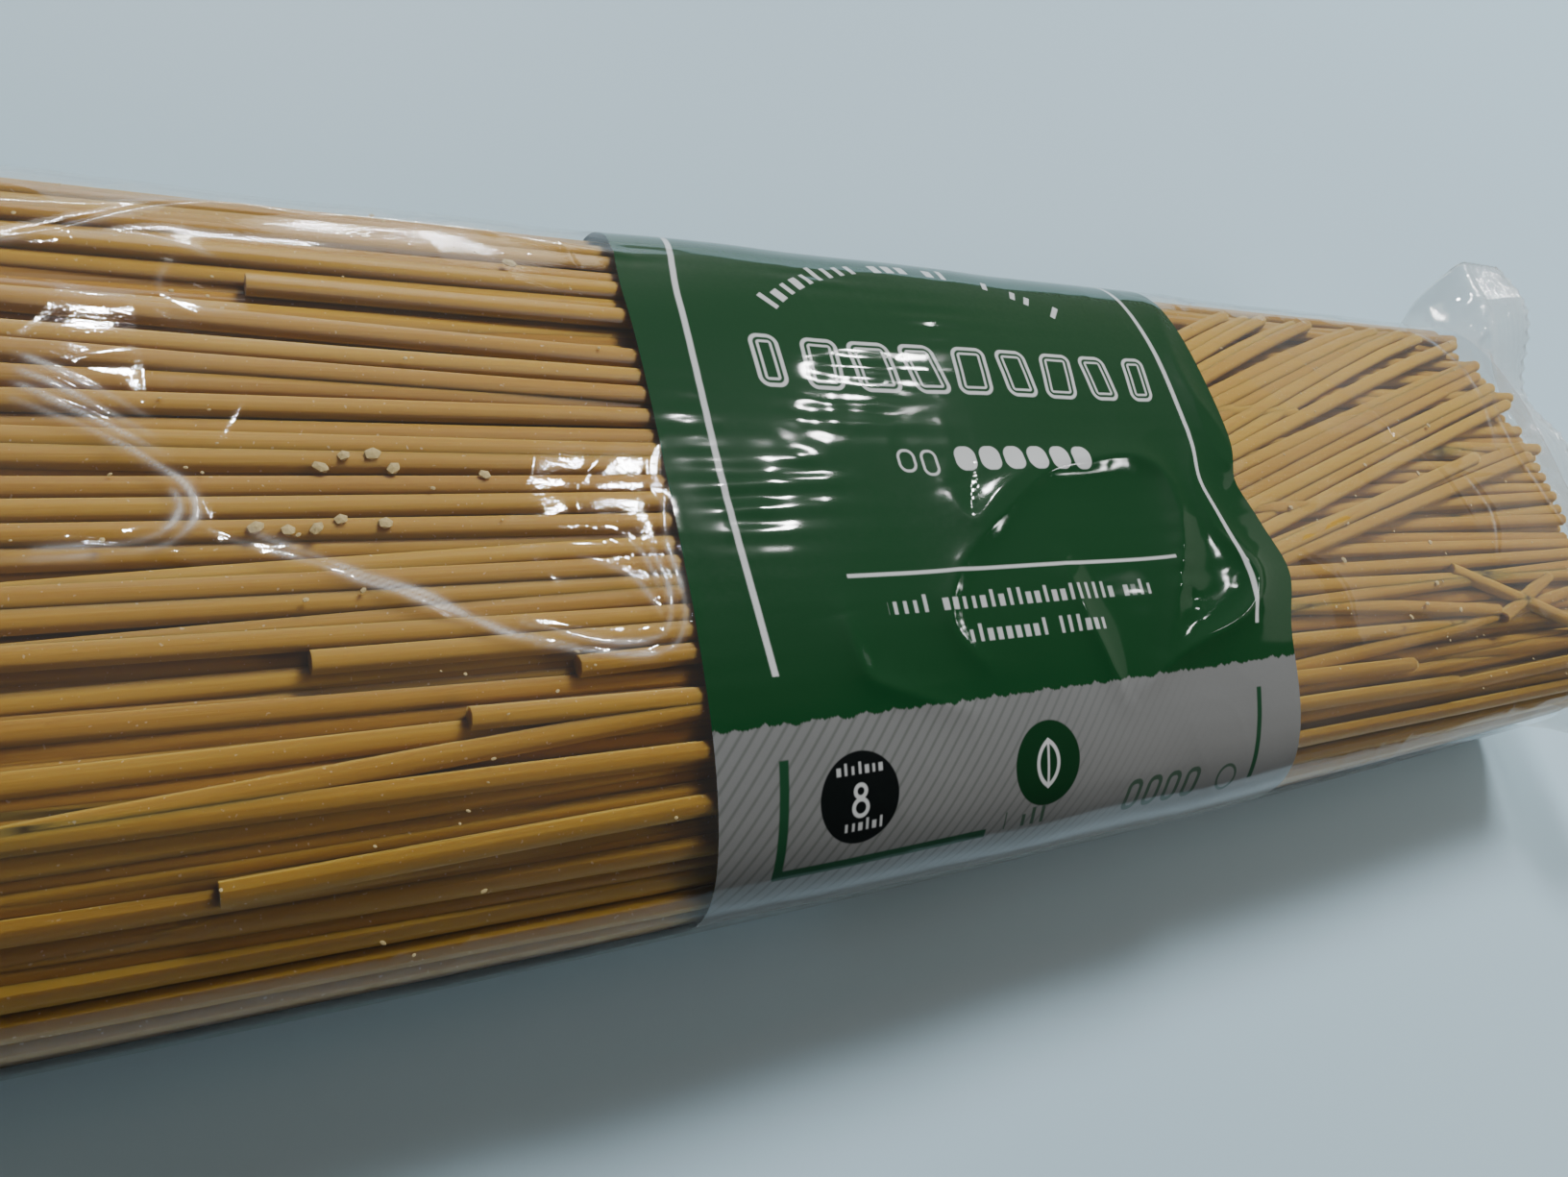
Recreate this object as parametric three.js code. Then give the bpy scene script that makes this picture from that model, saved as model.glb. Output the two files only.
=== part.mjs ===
// A packet of spaghetti in clear film, lying on its back seam with its front up.
// Units are millimetres. +X runs along the strands, +Z is up, and the origin is on the
// surface that the packet rests on, under the middle of the packet.

import * as THREE from 'three';

// Driving dimensions.
const packetLength = 300; // over both cut edges of the film
const strandLength = 257; // one straight stick of spaghetti
const bodyWidth = 76; // over the filled body
const bodyHeight = 31; // from the back seam to the crown
const flatWidth = 94; // the film tube pressed flat, at an end seal
const sealLength = 12; // the crimped strip at each end
const sealThickness = 0.9;
const crimpPitch = 3; // from one pressed rib to the next
const crimpDepth = 0.35;
const seamWidth = 14; // the lengthwise seam, folded flat under the packet
const seamProud = 0.4; // how far that seam stands below the body
const endNarrowing = 1.4; // what the body loses at each edge towards the ends
const endBow = 1.0; // how far both ends sit to the +Y side of the middle

// The section's squareness: the crown is rounder than the side that rests.
const crownSquareness = 2.8;
const baseSquareness = 5;
const baseFlat = 0.5; // how much the resting side is pressed flat

// Each end seal: the height of its middle, its rise towards +Y, and its waves.
const leftSeal = { middle: 15, rise: -2.5, waves: 1.5, phase: 0.6 };
const rightSeal = { middle: 23, rise: 5, waves: 1.2, phase: 2.1 };

// How finely the surface is divided.
const halfSectionSteps = 36;
const bodySteps = 21;
const shoulderSteps = 8;

const halfLength = packetLength / 2;
const sealStart = halfLength - sealLength;
const bodyEnd = strandLength / 2;

function smoothStep(value) {
  const s = Math.min(1, Math.max(0, value));
  return s * s * (3 - 2 * s);
}

function signedPower(value, power) {
  return Math.sign(value) * Math.abs(value) ** power;
}

// The places along X where a section is cut: closer together where the film closes.
function stations() {
  const places = [];
  for (let i = 0; i <= bodySteps; i += 1) {
    places.push(-bodyEnd + (strandLength * i) / bodySteps);
  }
  const ends = [];
  for (let i = 1; i <= shoulderSteps; i += 1) {
    ends.push(bodyEnd + ((sealStart - bodyEnd) * i) / shoulderSteps);
  }
  const sealSteps = (2 * sealLength) / crimpPitch;
  for (let i = 1; i <= sealSteps; i += 1) {
    ends.push(sealStart + (sealLength * i) / sealSteps);
  }
  return [...ends.map((x) => -x).reverse(), ...places, ...ends];
}

// The filled body at x. Angle 0 points to +Y and a quarter turn points to the crown.
function bodyPoint(x, angle) {
  const along = x / bodyEnd;
  const cos = Math.cos(angle);
  const sin = Math.sin(angle);
  const power = sin > 0 ? crownSquareness : baseSquareness;
  const size = (Math.abs(cos) ** power + Math.abs(sin) ** power) ** (1 / power);
  const halfWidth = bodyWidth / 2 - endNarrowing * along ** 2;
  const middle = (bodyHeight + seamProud) / 2;
  const reach = (bodyHeight - seamProud) / 2 + (sin > 0 ? 0 : baseFlat);
  const y = (halfWidth * cos) / size + endBow * along ** 2;
  const z = middle + (reach * sin) / size;
  const slack = 0.35 * Math.sin(x / 19) * Math.cos(y / 11) * Math.max(0, sin);
  const rest = Math.abs(y) < seamWidth / 2 ? 0 : seamProud;
  return { y, z: Math.min(bodyHeight, Math.max(rest, z + slack)) };
}

// The height of a flat end seal over its width, falling away where it joins the body.
function sealHeight(seal, y) {
  const side = (2 * y) / flatWidth;
  const wave = Math.sin(y / 7 + seal.phase) + 0.5 * Math.sin(y / 3.4 + 2 * seal.phase);
  return seal.middle + seal.rise * side + seal.waves * wave;
}

// The crimped seal at x: two films pressed together, ribbed across the packet.
function sealPoint(x, angle) {
  const seal = x > 0 ? rightSeal : leftSeal;
  const y = (flatWidth / 2) * signedPower(Math.cos(angle), 0.9);
  const inSeal = Math.max(0, Math.abs(x) - sealStart);
  const rib = inSeal > 0 ? crimpDepth * Math.sin((2 * Math.PI * inSeal) / crimpPitch + Math.PI / 4) : 0;
  const side = Math.sign(Math.sin(angle)) * Math.min(1, 3 * Math.abs(Math.sin(angle)));
  return { y, z: sealHeight(seal, y) + rib + (side * sealThickness) / 2 };
}

// One section: over the crown from +Y to -Y, then back along the resting side.
function section(x) {
  const closing = (Math.abs(x) - bodyEnd) / (sealStart - bodyEnd);
  const flat = smoothStep(closing);
  const spread = Math.sin((Math.PI / 2) * Math.min(1, Math.max(0, closing)));
  const points = [];
  for (let i = 0; i < 2 * halfSectionSteps; i += 1) {
    const angle = (Math.PI * i) / halfSectionSteps;
    const body = bodyPoint(Math.sign(x) * Math.min(bodyEnd, Math.abs(x)), angle);
    const seal = sealPoint(x, angle);
    const pleat = 0.8 * Math.sin(9 * angle) * flat * (1 - flat);
    const y = body.y + (seal.y - body.y) * spread;
    const z = body.z + (seal.z - body.z) * flat + pleat;
    points.push(new THREE.Vector3(x, y, z));
  }
  return points;
}

// A closed skin over the sections, with a cut edge at each end.
function loftGeometry(sections) {
  const around = sections[0].length;
  const positions = sections.flat().flatMap((point) => point.toArray());
  const faces = [];
  for (let row = 0; row + 1 < sections.length; row += 1) {
    for (let i = 0; i < around; i += 1) {
      const next = (i + 1) % around;
      const a = row * around + i;
      const b = row * around + next;
      faces.push(a, b, b + around, a, b + around, a + around);
    }
  }
  const last = (sections.length - 1) * around;
  for (let i = 0; i < around / 2; i += 1) {
    const under = (around - i) % around;
    const underNext = around - i - 1;
    if (i > 0) {
      faces.push(i, under, underNext);
      faces.push(last + i, last + underNext, last + under);
    }
    if (i + 1 !== underNext) {
      faces.push(i, underNext, i + 1);
      faces.push(last + i, last + i + 1, last + underNext);
    }
  }
  const geometry = new THREE.BufferGeometry();
  geometry.setAttribute('position', new THREE.Float32BufferAttribute(positions, 3));
  geometry.setIndex(faces);
  geometry.computeVertexNormals();
  return geometry;
}

function filmMaterial() {
  return new THREE.MeshStandardMaterial({ color: 0xb8924c, roughness: 0.25, metalness: 0 });
}

function makePacket() {
  const mesh = new THREE.Mesh(loftGeometry(stations().map(section)), filmMaterial());
  mesh.name = 'packet';
  return mesh;
}

const part = new THREE.Group();
part.add(makePacket());

export default part;
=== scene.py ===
"""A packet of spaghetti in clear film, with a printed band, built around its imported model."""

from math import ceil, cos, pi, radians, sin

import bpy
import numpy as np
from mathutils import Matrix, Vector


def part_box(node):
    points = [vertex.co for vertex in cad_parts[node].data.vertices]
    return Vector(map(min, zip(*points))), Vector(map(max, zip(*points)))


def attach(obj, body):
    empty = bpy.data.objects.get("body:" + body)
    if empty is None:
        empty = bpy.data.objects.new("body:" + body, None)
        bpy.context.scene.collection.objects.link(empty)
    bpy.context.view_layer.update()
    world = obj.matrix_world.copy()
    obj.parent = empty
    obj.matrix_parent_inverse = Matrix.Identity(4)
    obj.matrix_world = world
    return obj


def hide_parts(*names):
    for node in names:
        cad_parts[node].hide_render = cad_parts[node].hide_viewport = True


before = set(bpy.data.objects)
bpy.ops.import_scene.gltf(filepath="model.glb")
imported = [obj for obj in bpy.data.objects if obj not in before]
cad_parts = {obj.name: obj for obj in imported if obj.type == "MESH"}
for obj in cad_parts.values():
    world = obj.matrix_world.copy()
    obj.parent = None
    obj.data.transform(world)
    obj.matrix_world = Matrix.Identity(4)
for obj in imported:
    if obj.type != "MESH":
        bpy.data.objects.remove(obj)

bl_info = {
    "name": "Spaghetti packet",
    "version": (1, 0, 0),
    "blender": (4, 5, 0),
    "location": "3D View > Sidebar > Packet",
    "description": "Builds a clear film packet of spaghetti with its print, seals and loose sticks",
    "category": "Add Mesh",
}

MM = 0.001  # the film and the sticks are worked out in millimetres
BODY = "root"
NODE = "packet"

# The packet, from the frame: its box, and where its body gives way to the end seals.
# Its half width is that of the film pressed flat at a seal.
HALF_LENGTH, HALF_FLAT, CROWN = np.array(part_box(NODE)[1]) / MM
SEAL_LENGTH = 12.0
SEAL_START = HALF_LENGTH - SEAL_LENGTH
HALF_STICK = 128.5  # half a straight stick
HALF_WIDTH = 38.0  # half the body's width
SEAM_PROUD = 0.4  # how far the back seam holds the body off the floor
FILM_TOP = CROWN - 0.5
MIDDLE = (FILM_TOP + SEAM_PROUD) / 2
CROWN_POWER = 2.8  # how square the section is above its middle, where 2 is round
BASE_POWER = 5.0
END_NARROWING = 1.4
END_BOW = 1.0  # how far both ends of the body bend towards the top of the print

# The printed front, in millimetres along the packet and round it from the crown.
BAND_LEFT = -37.0
BAND_RIGHT = 45.7
SIDE_FOLD = HALF_FLAT  # round the packet, the place that is its edge when pressed flat


# ---------------------------------------------------------------- settings


def colour(name, description, default):
    return bpy.props.FloatVectorProperty(
        name=name, description=description, default=default, subtype="COLOR"
    )


class PacketSettings(bpy.types.PropertyGroup):
    """The sizes and colours that a user would change."""

    stick_count: bpy.props.IntProperty(
        name="Sticks", description="Whole sticks in the bundle", default=510, min=1
    )
    stick_diameter: bpy.props.FloatProperty(
        name="Stick diameter",
        description="Thickness of one stick",
        default=2 * MM,
        subtype="DISTANCE",
        unit="LENGTH",
    )
    seed: bpy.props.IntProperty(name="Seed", description="How the sticks fall", default=7)
    pasta_pale: colour("Pale pasta", "The lightest sticks", (0.56, 0.345, 0.045))
    pasta_deep: colour("Deep pasta", "The darkest sticks", (0.38, 0.19, 0.022))
    print_green: colour("Print green", "The deep green field", (0.003, 0.048, 0.013))
    print_white: colour("Print white", "The pale field and the lines", (0.62, 0.64, 0.64))
    print_grey: colour("Print grey", "The pale field below the green", (0.20, 0.205, 0.205))
    floor_colour: colour("Floor", "The plain floor", (0.50, 0.70, 0.82))


def settings():
    return bpy.context.scene.spaghetti_packet


# ---------------------------------------------------------------- node helpers


class Value:
    """A number that flows through a shader. Python sums on it add Math nodes."""

    def __init__(self, tree, socket):
        self.tree = tree
        self.socket = socket

    def math(self, operation, *others, swap=False):
        node = self.tree.nodes.new("ShaderNodeMath")
        node.operation = operation
        terms = [self, *others]
        if swap:
            terms.reverse()
        for socket, term in zip(node.inputs, terms):
            if isinstance(term, Value):
                self.tree.links.new(term.socket, socket)
            else:
                socket.default_value = term
        return Value(self.tree, node.outputs[0])

    def __add__(self, other):
        return self.math("ADD", other)

    def __sub__(self, other):
        return self.math("SUBTRACT", other)

    def __rsub__(self, other):
        return self.math("SUBTRACT", other, swap=True)

    def __mul__(self, other):
        return self.math("MULTIPLY", other)

    def __truediv__(self, other):
        return self.math("DIVIDE", other)

    def __pow__(self, other):
        return self.math("POWER", other)

    def __abs__(self):
        return self.math("ABSOLUTE")

    __radd__ = __add__
    __rmul__ = __mul__

    def least(self, other):
        return self.math("MINIMUM", other)

    def most(self, other):
        return self.math("MAXIMUM", other)

    def wrap(self, low, high):
        """The value carried round and round between low and high."""
        return self.math("WRAP", high, low)


class Tree:
    """A node tree and the one way that nodes are added to it."""

    prefix = "ShaderNode"

    def __init__(self, tree):
        self.tree = tree

    def node(self, kind, choices=None, sockets=None):
        """A node of a kind, with its choices made before its sockets are filled."""
        whole = kind.startswith(("Function", "Shader"))
        node = self.tree.nodes.new(kind if whole else self.prefix + kind)
        for name, choice in (choices or {}).items():
            setattr(node, name, choice)
        for name, value in (sockets or {}).items():
            self.plug(node.inputs[name], value)
        return node

    def plug(self, socket, value):
        if isinstance(value, Value):
            value = value.socket
        if isinstance(value, bpy.types.NodeSocket):
            self.tree.links.new(value, socket)
        else:
            socket.default_value = value

    def value(self, node, output=0):
        return Value(self.tree, node.outputs[output])


class Finish(Tree):
    """One material, drawn with nodes."""

    def __init__(self, name):
        self.material = bpy.data.materials.new(name)
        self.material.use_nodes = True
        super().__init__(self.material.node_tree)
        self.tree.nodes.clear()
        self.output = self.node("OutputMaterial")

    def done(self, shader):
        self.plug(self.output.inputs["Surface"], shader)
        return self.material

    def principled(self, sockets):
        return self.node("BsdfPrincipled", sockets=sockets).outputs["BSDF"]

    def mix(self, factor, first, second):
        """Colour first where factor is 0 and second where it is 1."""
        return self.node("Mix", {"data_type": "RGBA"}, {0: factor, 6: first, 7: second}).outputs[2]

    def blend(self, factor, first, second):
        """Shader first where factor is 0 and second where it is 1."""
        return self.node("MixShader", sockets={0: factor, 1: first, 2: second}).outputs[0]

    def place(self, scale=(1, 1, 1)):
        """The point on the object, stretched by scale."""
        here = self.node("TexCoord").outputs["Object"]
        return self.node("Mapping", sockets={"Vector": here, "Scale": scale}).outputs[0]

    def noise(self, vector, scale, detail=2.0, roughness=0.5):
        sockets = {"Vector": vector, "Scale": scale, "Detail": detail, "Roughness": roughness}
        return self.value(self.node("TexNoise", sockets=sockets))

    def vector(self, operation, *terms):
        return self.node("VectorMath", {"operation": operation}, dict(enumerate(terms))).outputs[0]

    def bump(self, height, distance, strength=1.0, normal=None):
        sockets = {"Height": height, "Distance": distance, "Strength": strength}
        if normal is not None:
            sockets["Normal"] = normal
        return self.node("Bump", sockets=sockets).outputs[0]

    def film_place(self):
        """Along the packet and round it, in millimetres."""
        unrolled = self.node("UVMap", {"uv_map": "film"}).outputs[0]
        split = self.node("SeparateXYZ", sockets={0: unrolled})
        return self.value(split, 0) / MM, self.value(split, 1) / MM

    def step(self, value, edge, softness):
        """0 below edge and 1 above it, over a short slope."""
        slope = {0: value, 1: edge - softness, 2: edge + softness}
        return self.value(self.node("MapRange", {"interpolation_type": "SMOOTHSTEP"}, slope))


class Maker(Tree):
    """A Geometry Nodes tree with named inputs, which ends in real mesh with a material."""

    prefix = "GeometryNode"

    def __init__(self, name):
        super().__init__(bpy.data.node_groups.new(name, "GeometryNodeTree"))
        self.sockets = {}
        side = self.tree.interface
        side.new_socket("Geometry", in_out="INPUT", socket_type="NodeSocketGeometry")
        side.new_socket("Geometry", in_out="OUTPUT", socket_type="NodeSocketGeometry")

    def ask(self, name, kind, default):
        """Adds an input that the modifier sets."""
        socket = self.tree.interface.new_socket(
            name, in_out="INPUT", socket_type="NodeSocket" + kind
        )
        socket.default_value = default
        self.sockets[name] = socket.identifier

    def start(self):
        self.group = self.tree.nodes.new("NodeGroupInput")
        return self.group.outputs["Geometry"]

    def asked(self, name):
        return self.group.outputs[name]

    def finish(self, geometry):
        real = self.node("RealizeInstances", sockets={"Geometry": geometry}).outputs[0]
        wear = {"Geometry": real, "Material": self.asked("Material")}
        done = self.node("SetMaterial", sockets=wear).outputs[0]
        self.tree.links.new(done, self.tree.nodes.new("NodeGroupOutput").inputs[0])

    def run(self, name, guide, **inputs):
        """Puts the tree on the guide mesh and returns the plain mesh object that it makes."""
        holder = bpy.data.objects.new(name + "_guide", guide)
        bpy.context.collection.objects.link(holder)
        modifier = holder.modifiers.new("maker", "NODES")
        modifier.node_group = self.tree
        for asked, value in inputs.items():
            modifier[self.sockets[asked.replace("_", " ")]] = value
        seen = holder.evaluated_get(bpy.context.evaluated_depsgraph_get())
        mesh = bpy.data.meshes.new_from_object(seen)
        bpy.data.objects.remove(holder)
        bpy.data.meshes.remove(guide)
        mesh.name = name
        return show(mesh)


def plain_mesh(name, verts, edges=(), faces=(), **marks):
    """A mesh from places in millimetres, with one number at each place for each mark."""
    mesh = bpy.data.meshes.new(name)
    mesh.from_pydata((np.asarray(verts) * MM).tolist(), list(edges), list(faces))
    for mark, values in marks.items():
        mesh.attributes.new(mark, "FLOAT", "POINT").data.foreach_set("value", values)
    return mesh


def quads(index):
    """The four-sided faces between the rows and columns of a grid of places."""
    corners = (index[:-1, :-1], index[1:, :-1], index[1:, 1:], index[:-1, 1:])
    return np.stack([c.ravel() for c in corners], -1)


def show(mesh):
    piece = bpy.data.objects.new(mesh.name, mesh)
    bpy.context.collection.objects.link(piece)
    return piece


def belongs(piece):
    """Says what a finished piece rides on and stands for."""
    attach(piece, BODY)
    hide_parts(NODE)


# ---------------------------------------------------------------- the film's shape


def smooth(value):
    s = np.clip(value, 0, 1)
    return s * s * (3 - 2 * s)


def ripples(x, v, length, seed, heading=0.0, spread=pi, waves=9):
    """Even unevenness from a few crossing waves of about that length, mostly within -1 and 1."""
    rng = np.random.default_rng(seed)
    total = np.zeros(np.broadcast(x, v).shape)
    for _ in range(waves):
        turn = heading + rng.uniform(-spread, spread)
        pace = 2 * pi / length * rng.uniform(0.75, 1.3)
        start = rng.uniform(0, 2 * pi)
        total += np.sin(pace * (x * cos(turn) + v * sin(turn)) + start)
    return total / (0.5 * waves) ** 0.5 / 1.6


def reach_out(y, z, half_width, half_height):
    """How far out a place is in the body's section: 1 is on the section's edge."""
    power = np.where(z > 0, CROWN_POWER, BASE_POWER)
    return (abs(y / half_width) ** power + abs(z / half_height) ** power) ** (1 / power)


def body_profile():
    """The body's section by arc length from the crown: v, y, z and the outward normal."""
    turn = np.linspace(-pi, pi, 2881)
    up = np.cos(turn)
    size = reach_out(np.sin(turn), up, 1, 1)
    y = HALF_WIDTH * np.sin(turn) / size
    z = MIDDLE + (FILM_TOP - MIDDLE) * up / size
    run = np.concatenate([[0], np.cumsum(np.hypot(np.diff(y), np.diff(z)))])
    v = run - run[len(run) // 2]
    upper = v[3 * len(v) // 4]
    lower = v[-1] - upper
    over = np.sign(v) * (SIDE_FOLD + (abs(v) - upper) * SIDE_FOLD / lower)
    v = np.where(abs(v) <= upper, v * SIDE_FOLD / upper, over)
    normal_y = np.gradient(z, run)
    normal_z = -np.gradient(y, run)
    return v, y, z, -normal_y, -normal_z


PROFILE = body_profile()


def on_body(x, v):
    """The smooth body at x and v: y, z and the outward normal's two parts."""
    y, z, normal_y, normal_z = (np.interp(v, PROFILE[0], part) for part in PROFILE[1:])
    along = np.clip(x / HALF_STICK, -1, 1) ** 2
    y = y * (1 - END_NARROWING / HALF_WIDTH * along) + END_BOW * along
    return y, z, normal_y, normal_z


def flowing(points):
    """A smooth path through the points, as closely spaced places."""
    points = np.array([points[0], *points, points[-1]], float)
    t = np.linspace(0, 1, 7)[:-1, None]
    path = []
    for a, b, c, d in zip(points, points[1:], points[2:], points[3:]):
        bend = 2 * a - 5 * b + 4 * c - d + t * (3 * (b - c) + d - a)
        path.append(b + 0.5 * t * (c - a + t * bend))
    return np.concatenate([*path, points[-1:]])


def crease(x, v, width, height, points):
    """A sharp ridge along a path, fading at both ends."""
    path = flowing(points)
    low = path.min(0) - 5 * width
    high = path.max(0) + 5 * width
    near = (x > low[0]) & (x < high[0]) & (v > low[1]) & (v < high[1])
    rise = np.zeros(x.shape)
    if not near.any():
        return rise
    here = np.stack([x[near], v[near]], -1)
    best = np.full(len(here), np.inf)
    place = np.zeros(len(here))
    for i, (a, b) in enumerate(zip(path[:-1], path[1:])):
        share = np.clip((here - a) @ (b - a) / ((b - a) @ (b - a) + 1e-9), 0, 1)
        away = np.hypot(*(here - a - share[:, None] * (b - a)).T)
        closer = away < best
        best = np.where(closer, away, best)
        place = np.where(closer, (i + share) / (len(path) - 1), place)
    sharp = np.exp(-np.sqrt(best**2 + (0.25 * width) ** 2) / width)
    rise[near] = height * sharp * np.sin(pi * np.clip(place, 0.02, 0.98)) ** 0.5
    return rise


# Each crease in the film: its width, its height and the places it runs through.
CREASES = (
    # The curl at the far left of the left window.
    (0.55, 0.44, ((-88, 12.9), (-84, 10.4), (-79.5, 7.2))),
    (0.55, 0.48, ((-88, 11.4), (-83.7, 8.6), (-79, 5.2))),
    (0.55, 0.48, ((-88, 10.0), (-83.5, 7.1), (-78.3, 3.6))),
    (0.6, 0.6, ((-88, 8.6), (-82.3, 5.2), (-79.3, 2.9), (-77.3, 1), (-76.7, -1.3), (-77.5, -3),
                (-79.3, -4.3), (-82.7, -4.8), (-89, -4.9))),
    (0.5, 0.4, ((-87, -4.1), (-81.5, -3.9), (-78.9, -2.9), (-77.8, -1), (-78.2, 0.8))),
    (1.2, 0.3, ((-88, 20), (-83, 19), (-79, 19.4))),
    (1.0, 0.3, ((-88, 25), (-79.2, 26.2), (-74, 25))),
    (1.2, 0.3, ((-77, 24), (-78, 20), (-74, 18))),
    # The long ridge that ends in a hook beside the print.
    (0.45, 0.04, ((-76, -2.8), (-71.2, -4.8), (-67.5, -6.4), (-63.6, -8.1), (-58.6, -10.5),
                  (-54.1, -12.7), (-48.5, -14.4))),
    (0.4, 0.03, ((-73, -2.9), (-69, -5.0), (-64.5, -7.2), (-60, -9.2), (-55, -12.6), (-50, -14.0))),
    (0.6, 0.5, ((-52, -14), (-48.5, -14.8), (-43.4, -15.7), (-40, -15.4), (-38.5, -13.6),
                (-37.9, -11), (-38, -8.2), (-38.4, -5), (-38, -0.5))),
    (0.6, 0.45, ((-53, -12), (-46, -14.2), (-41, -14.2), (-39.4, -12), (-39.2, -8.8), (-40.2, -5))),
    (1.0, 0.3, ((-47, -6), (-43, -7.8), (-41, -10.2), (-40, -12.6))),
    (0.9, 0.25, ((-43, -3.5), (-41, -6), (-40, -9.5))),
    # The edge where the film turns down, on the far side.
    (0.8, 0.4, ((-90, 23.6), (-84.7, 25.8), (-80.1, 29), (-75.8, 31.3), (-67.4, 33.9))),
    (1.2, 0.5, ((-94, 29), (-84, 29.6), (-76, 32), (-66, 33), (-54, 33), (-44, 32), (-34, 30.6))),
    # The lifted folds across the right of the print.
    (2.2, 0.7, ((-3.7, 1.4), (-1.9, -3.4), (3, -1.1), (10.1, 2.6), (16.7, 3.9), (26.7, 4.6),
                (31.3, 1.1), (30.6, -6), (26.6, -14.4), (22, -22))),
    (1.8, 0.8, ((37.7, 8), (37.2, -4.5), (39.5, -12), (36.8, -17.6), (25.1, -21.4), (16, -26))),
    (1.5, 0.5, ((9.7, -9), (11.1, -15.7), (12.7, -20.3), (14.6, -26))),
    (1.6, 0.45, ((-21.1, -13), (-20, -19.4), (-15.8, -21.8), (-7, -25))),
    (1.5, 0.35, ((4, -2), (-4.7, -8.4), (-8, -15), (-4, -21))),
    (2.6, 0.8, ((46, 34), (41, 20), (43, 8), (47, 2))),
    # The right window.
    (1.5, 0.6, ((49, -10), (57, -16), (60, -26))),
    (1.4, 0.45, ((52, 20), (64, 12), (78, 12), (92, 16))),
    (1.6, 0.5, ((62, 30), (74, 18), (90, 4), (96, -10))),
    (1.2, 0.5, ((112, 32), (116, 20), (112, 6))),
    (1.2, 0.5, ((126, 26), (117, 10), (121, -8), (127, -22))),
    (1.2, 0.4, ((98, 2), (101, -6), (97, -14))),
)


# Where the film clings to the sticks and takes their ribs: x, v, reach along and round.
CLINGING = (
    (-85, 12, 5, 6), (-47, -3, 5, 5), (-41, -8, 3, 6), (-33, 11, 3, 6), (-20, 5, 4, 6),
    (-29, -3, 4, 5), (-13, 30, 6, 2), (-35, 31, 5, 2), (-70, 25, 6, 4), (2, 24, 5, 3),
    (-13, 14, 7, 6), (29, -12, 1.6, 7), (86, 6, 6, 3), (104, 2, 4, 2),
)


# Where the film is pressed flat against a stick: x, v, reach along and round, and how far it
# leans along and round.
PRESSED = (
    (-71.7, -4.5, 3.0, 0.9, 0.13, -0.15), (-66.5, -6.8, 2.2, 0.6, -0.13, -0.05),
    (-60.1, -10.1, 3.0, 1.0, -0.11, -0.09), (-54.7, -12.7, 2.4, 0.6, -0.03, -0.14),
    (-47.5, -14.9, 3.5, 0.5, 0.04, -0.19), (-41.3, -15.0, 2.0, 0.4, 0.07, -0.17),
    (-76.7, 19.9, 2.0, 1.6, 0.07, 0.09), (-80.5, -4.3, 3.5, 0.5, 0.1, -0.15),
)


def ridges(x, v):
    """The height of all the creases."""
    rise = np.zeros(x.shape)
    for width, height, points in CREASES:
        rise += crease(x, v, width, height, points)
    for place, turn, reach, spread, along, over in PRESSED:
        away = x - place
        up = v - turn + 0.35 * away
        lean = along * away + over * up
        rise += lean * np.exp(-((away / reach) ** 4) - (up / spread) ** 4)
    return rise


def whitening(x, v):
    """How far the film is whitened along its sharp creases, from 0 to 1: partly real stress
    whitening, partly painted highlight in place of the glints along the creases.
    """
    crease_white_and_glint = np.zeros(x.shape)
    for width, height, points in CREASES:
        if width < 1.3:
            crease_white_and_glint = np.maximum(crease_white_and_glint, crease(x, v, 0.2, 1.1 if width < 0.7 else 0.5, points))
    return np.clip(crease_white_and_glint, 0, 1) * (0.3 + 0.7 * smooth(0.5 + 1.2 * ripples(x, v, 8, 12)))


# The film's unevenness: the height of its waves, their length and their seed. The sticks'
# ribs also have a heading and a spread.
BROAD_SLACK = (0.15, 36, 1)
SOFT_SLACK = (0.04, 13, 2)
STICK_RIBS = (0.045, 3.3, 5, pi / 2, 0.06)
BROKEN_RIBS = (0.012, 4.5, 10)
BACK_SLACK = (0.05, 60, 6)
CRINKLE = 0.06
BARELY_CLINGING = 0.12


def waves(x, v, kind):
    return kind[0] * ripples(x, v, *kind[1:])


def slack(x, v):
    """How far the film stands off the body: slack, crinkle, creases and the sticks' ribs."""
    front = smooth((SIDE_FOLD + 8 - abs(v)) / 16)
    printed = smooth((x - BAND_LEFT + 3) / 6) * smooth((BAND_RIGHT + 8 - x) / 10)
    loose = 1 - 0.6 * printed
    rise = waves(x, 0.6 * v, BROAD_SLACK) * front
    rise += loose * waves(x, v, SOFT_SLACK) * front
    crinkle = (1 - abs(ripples(x, v, 11, 3))) ** 3
    rise += CRINKLE * loose * crinkle * smooth(0.4 + ripples(x, v, 40, 4)) * front
    clinging = BARELY_CLINGING
    for place, turn, reach, spread in CLINGING:
        clinging = clinging + np.exp(-(((x - place) / reach) ** 2) - ((v - turn) / spread) ** 2)
    clinging = np.minimum(clinging, 1) * front
    rise += clinging * (waves(x, v, STICK_RIBS) + waves(x, v, BROKEN_RIBS))
    rise += waves(x, 0.3 * v, BACK_SLACK) * (1 - front)
    return rise + ridges(x, v)


def shift(x, v, y):
    """How far the film is dragged along the packet: a slight skew and a wavy right edge."""
    skew = (0.035 + 0.03 * smooth((x + 20) / 60)) * smooth((100 - abs(x)) / 40)
    wave = 2.9 * np.exp(-(((v + 12.5) / 5.5) ** 2)) - 1.9 * np.exp(-(((v - 1) / 4) ** 2))
    reach = smooth((x - 26) / 20) * smooth((76 - x) / 24)
    lean = 1.4 * smooth((v - 24) / 14) * smooth((x + 60) / 20) * smooth((-10 - x) / 20)
    return skew * y + wave * reach + lean


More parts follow.
